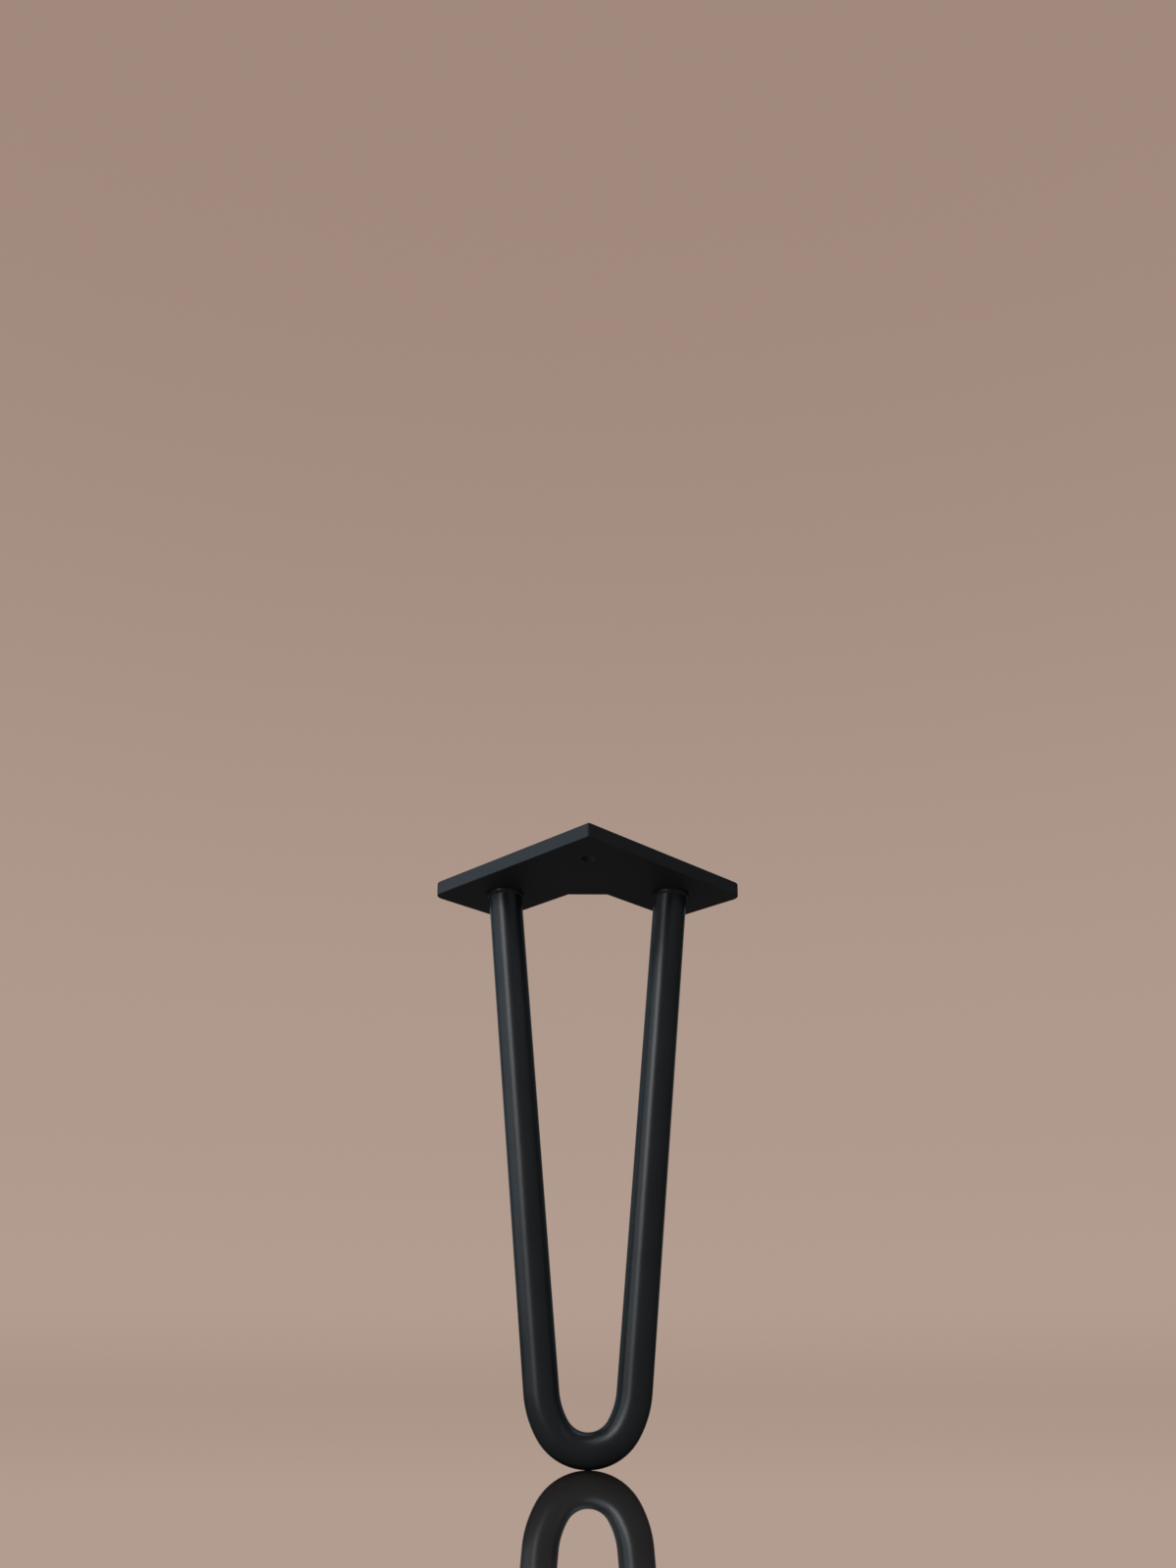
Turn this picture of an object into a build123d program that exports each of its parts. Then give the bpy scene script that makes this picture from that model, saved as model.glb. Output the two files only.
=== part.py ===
from build123d import *

import os
from math import acos, atan2, cos, degrees, hypot, radians, sin, sqrt, tan

# Hairpin table leg: one round steel bar bent into a narrow U, with its two ends welded under an angle plate.
# The plate screws to the underside of a table top, with its outer corner towards the corner of the table.
# Origin: on the plate's mounting face, straight above the foot. +Z is up, -Y points to the plate's outer corner.

# Bar, in millimetres and degrees
rod_diameter = 12.0
leg_height = 203.0  # from the floor to the underside of the plate
rod_lean = 3.0  # off upright, so that the foot stands further out than the welds
bend_radius = 13.5  # centreline of the tight bend at the foot
shoulder_radius = 29.0  # centreline of the easier bend on each side of it
shoulder_turn = 25.0  # how far the bar turns in each shoulder

# Plate
plate_arm_length = 81.0  # along each outer edge
plate_arm_width = 34.0
plate_thickness = 5.0
inner_corner_cut = 10.0  # web left in the corner between the arms, along each inner edge
outer_corner_radius = 0.8  # the plate's one crisp corner
arm_end_radius = 4.0  # all four corners at the arms' ends
plate_edge_radius = 0.4
rod_from_arm_end = 21.0  # each weld is on its arm's centreline, this far from the arm's end

# Screw holes
screw_hole_diameter = 5.0
corner_hole_from_edges = 14.0
arm_hole_from_end = 11.0
arm_hole_from_inner_edge = 7.0

# Weld beads
weld_reach = 1.0  # out along the plate, from the bar's surface
weld_drop = 2.2  # down the bar, from the plate
weld_lip = 0.2  # thickness of the bead where it runs out on the bar
weld_crown = 0.25  # how far the bead's face bulges past a straight line, as a share of its reach

# Places that follow from the sizes above
rod_radius = rod_diameter / 2
seat_along = plate_arm_length - rod_from_arm_end
seat_across = plate_arm_width / 2
seat_x = (seat_along - seat_across) / sqrt(2)
rise = leg_height - rod_radius
seat_y = rise * tan(radians(rod_lean))
corner_y = seat_y - (seat_along + seat_across) / sqrt(2)
underside = Plane.XY.offset(-plate_thickness)
plate_plane = Plane(origin=(0, corner_y, -plate_thickness), x_dir=(1, 1, 0), z_dir=(0, 0, 1))

# The bar lies in a leaning plane: its X is the leg's X, and its Y runs up the lean from the foot
foot_centre = (0, 0, -plate_thickness - rise)
lean_plane = Plane(
    origin=foot_centre,
    x_dir=(1, 0, 0),
    z_dir=(0, -cos(radians(rod_lean)), sin(radians(rod_lean))),
)
seat_height = rise / cos(radians(rod_lean))

# Each straight shank is tangent to its shoulder and passes through its weld, which sets its slope
bend_reach = bend_radius + (shoulder_radius - bend_radius) * (1 - cos(radians(shoulder_turn)))
to_seat = (seat_x, seat_height - bend_radius)
shank_slope = degrees(acos(bend_reach / hypot(*to_seat)) - atan2(to_seat[1], to_seat[0]))
bend_turn = 180 - 2 * (shoulder_turn + shank_slope)
shank_run = (sin(radians(shank_slope)), cos(radians(shank_slope)))
shank_length = sqrt(hypot(*to_seat) ** 2 - bend_reach**2)
shank_length -= (shoulder_radius - bend_radius) * sin(radians(shoulder_turn))
shank_foot = (seat_x - shank_length * shank_run[0], seat_height - shank_length * shank_run[1])
trim_length = rod_diameter  # bar left past the plate's underside, to be cut flat to it
stock_end = (seat_x + trim_length * shank_run[0], seat_height + trim_length * shank_run[1])

os.makedirs("parts", exist_ok=True)

# Mounting plate: two arms at a right angle with a small web between them, laser cut from flat bar
with BuildPart() as mounting_plate:
    with BuildSketch(plate_plane) as outline:
        Rectangle(plate_arm_length, plate_arm_width, align=Align.MIN)
        Rectangle(plate_arm_width, plate_arm_length, align=Align.MIN)
        by_inner_corner = outline.vertices().sort_by_distance((plate_arm_width, plate_arm_width))
        chamfer(by_inner_corner[0], length=inner_corner_cut)
        by_outer_corner = outline.vertices().sort_by_distance((0, 0))
        fillet(by_outer_corner[-4:], radius=arm_end_radius)
        by_outer_corner = outline.vertices().sort_by_distance((0, 0))
        fillet(by_outer_corner[0], radius=outer_corner_radius)
    extrude(amount=plate_thickness)
    rims = mounting_plate.edges().group_by(Axis.Z)
    fillet(rims[0] + rims[-1], radius=plate_edge_radius)
    arm_hole_along = plate_arm_length - arm_hole_from_end
    arm_hole_across = plate_arm_width - arm_hole_from_inner_edge
    with Locations(plate_plane):
        with Locations(
            (corner_hole_from_edges, corner_hole_from_edges),
            (arm_hole_along, arm_hole_across),
            (arm_hole_across, arm_hole_along),
        ):
            Hole(radius=screw_hole_diameter / 2)
mounting_plate.part.label = "mounting_plate"
export_step(mounting_plate.part, "parts/mounting_plate.step")

# Hairpin rod: shank, shoulder, tight bend, shoulder, shank, with both ends cut flat to the plate's underside
with BuildPart() as hairpin_rod:
    with BuildLine(lean_plane) as bar_line:
        left_shank = Line((-stock_end[0], stock_end[1]), (-shank_foot[0], shank_foot[1]))
        left_shoulder = JernArc(left_shank @ 1, left_shank % 1, shoulder_radius, shoulder_turn)
        foot_bend = JernArc(left_shoulder @ 1, left_shoulder % 1, bend_radius, bend_turn)
        right_shoulder = JernArc(foot_bend @ 1, foot_bend % 1, shoulder_radius, shoulder_turn)
        Line(right_shoulder @ 1, stock_end)
    with BuildSketch(Plane(origin=left_shank @ 0, z_dir=left_shank % 0)):
        Circle(rod_radius)
    sweep(path=bar_line.wire())
    split(bisect_by=underside, keep=Keep.BOTTOM)
hairpin_rod.part.label = "hairpin_rod"
export_step(hairpin_rod.part, "parts/hairpin_rod.step")

# Weld beads: a fillet bead all round each end of the bar, lying on the plate's underside and on the bar
for side, name in ((-1, "weld_left"), (1, "weld_right")):
    seat = (side * seat_x, seat_y, -plate_thickness)
    shank = lean_plane.x_dir * side * shank_run[0] + lean_plane.y_dir * shank_run[1]
    with BuildPart() as weld:
        with BuildSketch(Plane(origin=seat, x_dir=(1, 0, 0), z_dir=(0, -1, 0))):
            with BuildLine():
                lip = (rod_radius + weld_lip, -weld_drop)
                toe = (rod_radius + weld_reach, 0)
                SagittaArc(lip, toe, -weld_crown * weld_reach)
                Polyline(toe, (0, 0), (0, -weld_drop), lip)
            make_face()
        revolve(axis=Axis(seat, (0, 0, 1)))
        with BuildSketch(Plane(origin=seat, z_dir=shank)):
            Circle(rod_radius)
        extrude(amount=trim_length, both=True, mode=Mode.SUBTRACT)
    weld.part.label = name
    export_step(weld.part, f"parts/{name}.step")
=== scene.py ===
# Hairpin table leg in black satin powder coat, on a pale floor that mirrors it.
# Everything is in metres, in the leg's own frame: +Z is up, -Y points to the plate's outer corner.
from math import atan2, hypot, pi, radians

import bpy
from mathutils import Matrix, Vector


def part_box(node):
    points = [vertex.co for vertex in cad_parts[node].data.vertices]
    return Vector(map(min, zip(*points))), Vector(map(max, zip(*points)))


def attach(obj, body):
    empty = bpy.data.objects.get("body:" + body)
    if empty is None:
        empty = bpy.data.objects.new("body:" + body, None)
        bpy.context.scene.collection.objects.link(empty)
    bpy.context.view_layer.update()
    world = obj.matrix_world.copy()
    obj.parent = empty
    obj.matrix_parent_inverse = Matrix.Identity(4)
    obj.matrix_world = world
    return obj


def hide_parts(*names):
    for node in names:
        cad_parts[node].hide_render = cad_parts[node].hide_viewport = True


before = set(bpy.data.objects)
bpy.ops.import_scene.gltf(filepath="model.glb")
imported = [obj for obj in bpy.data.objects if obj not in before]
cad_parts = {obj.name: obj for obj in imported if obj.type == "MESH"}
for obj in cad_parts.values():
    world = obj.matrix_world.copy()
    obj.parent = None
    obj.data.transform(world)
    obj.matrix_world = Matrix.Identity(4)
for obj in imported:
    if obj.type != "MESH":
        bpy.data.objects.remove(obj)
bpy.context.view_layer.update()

# Places read from the frame
bar_low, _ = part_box("hairpin_rod")
plate_low, plate_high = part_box("mounting_plate")
floor_z = bar_low.z
bar_radius = -bar_low.y
leg_middle = Vector((0.0, 0.0, (floor_z + plate_high.z) / 2))

# Powder coat, with linear colours
bar_colour = (0.0190, 0.0245, 0.0296)
# The beads' colour is the bar's coat made darker: painted shade, so that the beads read as dark as the
# plate's underside round them
bead_colour_painted_shade = (0.0162, 0.0208, 0.0252)
# The plate's colour is the bar's coat made lighter and a little cooler: painted light, which lifts the
# plate's lit left face
plate_colour_painted_light = (0.0222, 0.0292, 0.0360)
coat_metallic = 0.70
patches_per_metre = 60.0
patch_detail = 3.0
gloss_spread = 0.02  # a wider spread leaves faint rings on the bar in a denoised render
patch_tones = ((0.3, 0.93), (0.7, 1.07))  # value of the noise, and the share of the colour there
peel_detail = 1.5

# Weld beads: an oval ring round the bar, sunk into the corner between the bar and the plate
bead_sunk_in_bar = 0.00080
bead_sunk_in_plate = 0.0004
bead_half_width = 0.00155
bead_half_height = 0.00260
bead_section_points = 24
ripple_count = 30
rings_per_ripple = 4
ripple_depth = 0.00006
crescent_turns = ((-30, 2.2), (-45, 3.0), (-60, 2.2))  # degrees round the section, and degrees drawn forward
crescent_half_span = radians(7)
closing_place = radians(75)
closing_half_span = radians(15)
closing_lump = 0.00008
lumpiness = 0.00006
lump_size = 0.0035
bead_left_in_plate = 0.0001

# Camera: close to the floor in front of the plate's outer corner, looking slightly up
photo_height_px = 1600
focal_length_px = 1425.0
optical_axis_px = 1074.1
film_height_mm = 36.0
camera_to_corner = 0.4306
camera_above_floor = 0.022
camera_aside = -0.00355
camera_pitch = radians(14.0)
camera_yaw = 0.0075
nearest_seen = 0.01
farthest_seen = 100.0

# Backdrop: heights from 0 at the horizon to 1 overhead, with tones of 0 to 255 as the eye reads them
backdrop_tones = (
    (0.0, (172, 150, 137)),
    (0.07, (179, 157, 144)),
    (0.20, (176, 154, 141)),
    (0.75, (161, 137, 125)),
)
glow_colour = (1.0, 0.97, 0.95, 1.0)
glow_strength = 0.65

# Floor: matt from above, and a mirror where it is looked at flat
floor_tone = (196, 174, 161)
floor_radius = 14.0
floor_sides = 96
floor_roughness = 0.55
floor_specular = 0.3
mirror_roughness = 0.01
mirror_starts = 0.72
mirror_is_full = 0.90
mirror_share = 0.985

# Lamps: where each one stands, and the width and height of its face
front_strip = ((-0.58, -0.74, 0.42), (0.38, 0.50))
front_strip_low = ((-0.58, -0.74, -0.01), (0.38, 0.36))
back_strip_left = ((-0.62, 0.79, 0.25), (0.36, 0.80))
back_strip_right = ((0.62, 0.79, 0.25), (0.36, 0.80))
side_panel = ((-0.98, -0.04, 0.30), (1.30, 0.96))
right_panel = ((0.66, -0.66, 0.54), (0.90, 0.17))
plate_panel = ((-0.95, -0.04, 0.05), (0.60, 0.40))
back_panel = ((0.30, 0.70, 0.90), (0.90, 0.60))
top_light = ((-0.40, -0.70, 1.10), (0.80, 0.80))
warm = (1.0, 0.82, 0.70)
soft = (1.0, 0.95, 0.90)
white = (1.0, 0.98, 0.96)


def linear(tone):
    """Turns a tone of 0 to 255 into the linear colour that Blender takes."""
    shares = [value / 255 for value in tone]
    return [s / 12.92 if s <= 0.04045 else ((s + 0.055) / 1.055) ** 2.4 for s in shares] + [1.0]


def new_material(name):
    """Makes an empty node material and gives its nodes, its links and its surface shader."""
    material = bpy.data.materials.new(name)
    material.use_nodes = True
    nodes = material.node_tree.nodes
    return material, nodes, material.node_tree.links, nodes["Principled BSDF"]


def coat_material(name, colour, edge_sheen, roughness, peel_size, peel_height):
    """Black satin powder coat: a weak cool sheen over a matt share, a little uneven in gloss and tone.

    The sheen doesn't brighten at a glance, and a faint orange peel lies over it."""
    material, nodes, links, surface = new_material(name)
    surface.inputs["Metallic"].default_value = coat_metallic
    surface.inputs["Specular IOR Level"].default_value = 0.0
    surface.inputs["Specular Tint"].default_value = (edge_sheen, edge_sheen, edge_sheen, 1.0)
    place = nodes.new("ShaderNodeTexCoord")

    wander = nodes.new("ShaderNodeTexNoise")
    wander.inputs["Scale"].default_value = patches_per_metre
    wander.inputs["Detail"].default_value = patch_detail
    links.new(place.outputs["Object"], wander.inputs["Vector"])
    gloss = nodes.new("ShaderNodeMapRange")
    gloss.inputs["To Min"].default_value = roughness - gloss_spread
    gloss.inputs["To Max"].default_value = roughness + gloss_spread
    links.new(wander.outputs["Fac"], gloss.inputs["Value"])
    links.new(gloss.outputs["Result"], surface.inputs["Roughness"])
    shade = nodes.new("ShaderNodeValToRGB")
    for end, (position, share) in zip(shade.color_ramp.elements, patch_tones):
        end.position = position
        end.color = (*(share * part for part in colour), 1.0)
    links.new(wander.outputs["Fac"], shade.inputs["Fac"])
    links.new(shade.outputs["Color"], surface.inputs["Base Color"])

    peel = nodes.new("ShaderNodeTexNoise")
    peel.inputs["Scale"].default_value = 1.0 / peel_size
    peel.inputs["Detail"].default_value = peel_detail
    links.new(place.outputs["Object"], peel.inputs["Vector"])
    bump = nodes.new("ShaderNodeBump")
    bump.inputs["Strength"].default_value = 1.0
    bump.inputs["Distance"].default_value = peel_height
    links.new(peel.outputs["Fac"], bump.inputs["Height"])
    links.new(bump.outputs["Normal"], surface.inputs["Normal"])
    return material


def dress(node, material):
    """Gives a CAD node its finish."""
    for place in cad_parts[node].material_slots:
        place.material = material


def pick(piece, wanted):
    """Selects, in edit mode, only the points of a piece that the test wants."""
    bpy.ops.mesh.select_mode(type="VERT")
    bpy.ops.mesh.select_all(action="DESELECT")
    bpy.ops.object.mode_set(mode="OBJECT")
    for point in piece.data.vertices:
        point.select = wanted(point.co)
    bpy.ops.object.mode_set(mode="EDIT")


def lay_bead(node, coat):
    """Lays a rippled weld bead in the corner between one end of the bar and the plate."""
    low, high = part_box(node)
    seat = Vector(((low.x + high.x) / 2, (low.y + high.y) / 2, high.z))
    ring_radius = bar_radius - bead_sunk_in_bar

    def round_ring(co):
        return atan2(co.y, co.x)

    def round_section(co):
        across = (hypot(co.x, co.y) - ring_radius) / bead_half_width
        return atan2((co.z - bead_sunk_in_plate) / bead_half_height, across)

    bpy.ops.object.select_all(action="DESELECT")
    bpy.ops.mesh.primitive_torus_add(
        location=seat,
        major_segments=rings_per_ripple * ripple_count,
        minor_segments=bead_section_points,
        major_radius=ring_radius,
        minor_radius=bead_half_width,
    )
    bead = bpy.context.object
    bead.name = node + "_bead"
    bpy.ops.object.mode_set(mode="EDIT")
    bpy.ops.mesh.select_all(action="SELECT")
    bpy.ops.transform.resize(value=(1.0, 1.0, bead_half_height / bead_half_width), center_override=seat)
    bpy.ops.transform.translate(value=(0.0, 0.0, bead_sunk_in_plate))

    # Each ripple is a crescent: a groove at one ring in four, drawn forward along the middle of the bead
    pitch = 2 * pi / ripple_count
    groove_half_span = pitch / rings_per_ripple / 4
    pick(bead, lambda co: abs((round_ring(co) + pitch / 2) % pitch - pitch / 2) < groove_half_span)
    bpy.ops.transform.shrink_fatten(value=-ripple_depth)
    for section, turn in crescent_turns:
        pick(bead, lambda co: abs(round_section(co) - radians(section)) < crescent_half_span)
        bpy.ops.transform.rotate(value=radians(turn), orient_axis="Z", center_override=seat)

    # The bead closes behind the bar, where its end runs over its start
    pick(bead, lambda co: abs(round_ring(co) - closing_place) < closing_half_span)
    bpy.ops.transform.shrink_fatten(value=closing_lump)
    bpy.ops.object.mode_set(mode="OBJECT")
    bpy.ops.object.transform_apply(location=True, rotation=True, scale=True)

    # Smoothed once, and then made a little lumpy
    bpy.ops.object.modifier_add(type="SUBSURF")
    bead.modifiers[-1].levels = 1
    bead.modifiers[-1].render_levels = 1
    bpy.ops.object.modifier_apply(modifier=bead.modifiers[-1].name)
    bpy.ops.object.modifier_add(type="DISPLACE")
    uneven = bpy.data.textures.new(node + "_uneven", "CLOUDS")
    uneven.noise_scale = lump_size
    bead.modifiers[-1].texture = uneven
    bead.modifiers[-1].texture_coords = "LOCAL"
    bead.modifiers[-1].strength = lumpiness
    bead.modifiers[-1].mid_level = 0.5
    bpy.ops.object.modifier_apply(modifier=bead.modifiers[-1].name)

    # The ring is cut off just inside the plate and closed there
    cut_place = (0.0, 0.0, seat.z + bead_left_in_plate)
    bpy.ops.object.mode_set(mode="EDIT")
    bpy.ops.mesh.select_all(action="SELECT")
    bpy.ops.mesh.bisect(plane_co=cut_place, plane_no=(0.0, 0.0, 1.0), clear_outer=True)
    bpy.ops.mesh.select_all(action="DESELECT")
    bpy.ops.mesh.select_non_manifold()
    bpy.ops.mesh.bridge_edge_loops()
    bpy.ops.mesh.select_all(action="SELECT")
    bpy.ops.mesh.normals_make_consistent(inside=False)
    bpy.ops.object.mode_set(mode="OBJECT")
    bpy.ops.object.shade_smooth()

    bead.data.materials.append(coat)
    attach(bead, "root")
    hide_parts(node)
    return bead


def floor_material():
    """Pale sealed floor with a clear gloss, which mirrors more the flatter it is looked at."""
    material, nodes, links, surface = new_material("pale_floor")
    surface.inputs["Base Color"].default_value = linear(floor_tone)
    surface.inputs["Roughness"].default_value = floor_roughness
    surface.inputs["Specular IOR Level"].default_value = floor_specular
    mirror = nodes.new("ShaderNodeBsdfGlossy")
    mirror.inputs["Color"].default_value = (1.0, 1.0, 1.0, 1.0)
    mirror.inputs["Roughness"].default_value = mirror_roughness
    glance = nodes.new("ShaderNodeLayerWeight")
    glance.inputs["Blend"].default_value = 0.5
    share = nodes.new("ShaderNodeMapRange")
    share.interpolation_type = "SMOOTHSTEP"
    share.inputs["From Min"].default_value = mirror_starts
    share.inputs["From Max"].default_value = mirror_is_full
    share.inputs["To Max"].default_value = mirror_share
    links.new(glance.outputs["Facing"], share.inputs["Value"])
    both = nodes.new("ShaderNodeMixShader")
    links.new(share.outputs["Result"], both.inputs["Fac"])
    links.new(surface.outputs["BSDF"], both.inputs[1])
    links.new(mirror.outputs["BSDF"], both.inputs[2])
    links.new(both.outputs["Shader"], nodes["Material Output"].inputs["Surface"])
    return material


def lay_floor():
    """A wide round floor under the foot."""
    bpy.ops.object.select_all(action="DESELECT")
    bpy.ops.mesh.primitive_circle_add(
        vertices=floor_sides, radius=floor_radius, fill_type="NGON", location=(0.0, 0.0, floor_z)
    )
    floor = bpy.context.object
    floor.name = "floor"
    floor.data.materials.append(floor_material())
    return floor


def hang_backdrop():
    """A soft backdrop all round, a little darker higher up, which the camera and the gloss see.

    Everything else gets an even pale glow from all round."""
    world = bpy.data.worlds.new("backdrop")
    bpy.context.scene.world = world
    world.use_nodes = True
    nodes = world.node_tree.nodes
    links = world.node_tree.links
    seen = nodes["Background"]
    place = nodes.new("ShaderNodeTexCoord")
    height = nodes.new("ShaderNodeSeparateXYZ")
    links.new(place.outputs["Generated"], height.inputs["Vector"])
    fade = nodes.new("ShaderNodeValToRGB")
    fade.color_ramp.interpolation = "EASE"
    for position, _ in backdrop_tones[1:-1]:
        fade.color_ramp.elements.new(position)
    for element, (position, tone) in zip(fade.color_ramp.elements, backdrop_tones):
        element.position = position
        element.color = linear(tone)
    links.new(height.outputs["Z"], fade.inputs["Fac"])
    links.new(fade.outputs["Color"], seen.inputs["Color"])

    glow = nodes.new("ShaderNodeBackground")
    glow.inputs["Color"].default_value = glow_colour
    glow.inputs["Strength"].default_value = glow_strength
    rays = nodes.new("ShaderNodeLightPath")
    seen_by_gloss = nodes.new("ShaderNodeMath")
    seen_by_gloss.operation = "MAXIMUM"
    links.new(rays.outputs["Is Glossy Ray"], seen_by_gloss.inputs[0])
    links.new(rays.outputs["Is Transmission Ray"], seen_by_gloss.inputs[1])
    seen_at_all = nodes.new("ShaderNodeMath")
    seen_at_all.operation = "MAXIMUM"
    links.new(rays.outputs["Is Camera Ray"], seen_at_all.inputs[0])
    links.new(seen_by_gloss.outputs["Value"], seen_at_all.inputs[1])
    choice = nodes.new("ShaderNodeMixShader")
    links.new(seen_at_all.outputs["Value"], choice.inputs["Fac"])
    links.new(glow.outputs["Background"], choice.inputs[1])
    links.new(seen.outputs["Background"], choice.inputs[2])
    links.new(choice.outputs["Shader"], nodes["World Output"].inputs["Surface"])


def leave_out(name, *objects):
    """A list of objects that a lamp doesn't light, or that don't shade it."""
    left_out = bpy.data.collections.new(name)
    for each in objects:
        left_out.objects.link(each)
    for member in left_out.collection_objects:
        member.light_linking.link_state = "EXCLUDE"
    return left_out


def hang_lamp(name, stand, colour, kept_off, brightness, not_shaded_by=None):
    """A flat soft lamp turned to the middle of the leg. Its brightness is that of its face."""
    place, (width, height) = stand
    lamp = bpy.data.lights.new(name, "AREA")
    lamp.shape = "RECTANGLE"
    lamp.size = width
    lamp.size_y = height
    lamp.energy = brightness * pi * width * height
    lamp.color = colour
    holder = bpy.data.objects.new(name, lamp)
    holder.location = place
    holder.rotation_euler = (leg_middle - Vector(place)).to_track_quat("-Z", "Y").to_euler()
    holder.visible_camera = False
    holder.light_linking.receiver_collection = kept_off
    holder.light_linking.blocker_collection = not_shaded_by
    bpy.context.collection.objects.link(holder)


def hang_lamps(floor, beads):
    """Narrow strips for the bar and its beads, wide panels for the leg, and a top light for the floor too.

    Strips are kept off the floor and the plate, and panels off the floor, so that neither mirrors them as
    a glare. The side panel is kept off the beads, and one panel lights the plate alone. The lamps called
    clear aren't shaded by the plate, so that the bar darkens only a little under it."""
    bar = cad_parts["hairpin_rod"]
    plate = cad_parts["mounting_plate"]
    floor_alone = leave_out("floor_alone", floor)
    floor_plate = leave_out("floor_plate", floor, plate)
    floor_beads = leave_out("floor_beads", floor, *beads)
    all_but_plate = leave_out("all_but_plate", floor, bar, *beads)

    hang_lamp("front_strip", front_strip, warm, floor_plate, brightness=7.2)
    hang_lamp("front_strip_low", front_strip_low, warm, floor_plate, brightness=4.1)
    hang_lamp("front_strip_clear", front_strip, warm, floor_plate, brightness=3.8, not_shaded_by=floor_plate)
    hang_lamp("back_strip_left", back_strip_left, white, floor_plate, brightness=4.0)
    hang_lamp("back_strip_right", back_strip_right, white, floor_plate, brightness=1.8)
    hang_lamp("side_panel", side_panel, soft, floor_beads, brightness=1.45)
    hang_lamp("side_panel_clear", side_panel, soft, floor_beads, brightness=0.60, not_shaded_by=floor_plate)
    hang_lamp("right_panel_clear", right_panel, white, floor_plate, brightness=0.8, not_shaded_by=floor_plate)
    hang_lamp("plate_panel", plate_panel, soft, all_but_plate, brightness=3.7)
    hang_lamp("back_panel", back_panel, white, floor_alone, brightness=3.0)
    hang_lamp("top_light", top_light, white, None, brightness=2.5)


def set_camera():
    """The photograph's view."""
    lens = bpy.data.cameras.new("camera")
    lens.sensor_fit = "VERTICAL"
    lens.sensor_height = film_height_mm
    lens.lens = focal_length_px / photo_height_px * film_height_mm
    lens.shift_y = (optical_axis_px - photo_height_px / 2) / photo_height_px
    lens.clip_start = nearest_seen
    lens.clip_end = farthest_seen
    camera = bpy.data.objects.new("camera", lens)
    camera.location = (camera_aside, plate_low.y - camera_to_corner, floor_z + camera_above_floor)
    camera.rotation_euler = (pi / 2 + camera_pitch, 0.0, -camera_yaw)
    bpy.context.collection.objects.link(camera)
    bpy.context.scene.camera = camera


bar_coat = coat_material(
    "bar_coat", bar_colour, edge_sheen=0.42, roughness=0.29, peel_size=0.0012, peel_height=0.000012
)
# The beads' coat, darker than the bar's: painted shade
bead_coat_painted_shade = coat_material(
    "bead_coat_painted_shade", bead_colour_painted_shade, edge_sheen=0.42, roughness=0.29, peel_size=0.0012, peel_height=0.000005
)
# The plate's coat, lighter than the bar's: painted light
plate_coat_painted_light = coat_material(
    "plate_coat_painted_light", plate_colour_painted_light, edge_sheen=0.5, roughness=0.56, peel_size=0.0010, peel_height=0.000014
)
dress("hairpin_rod", bar_coat)
dress("mounting_plate", plate_coat_painted_light)
beads = [lay_bead("weld_left", bead_coat_painted_shade), lay_bead("weld_right", bead_coat_painted_shade)]

floor = lay_floor()
hang_backdrop()
hang_lamps(floor, beads)
set_camera()
bpy.context.scene.view_settings.view_transform = "Standard"
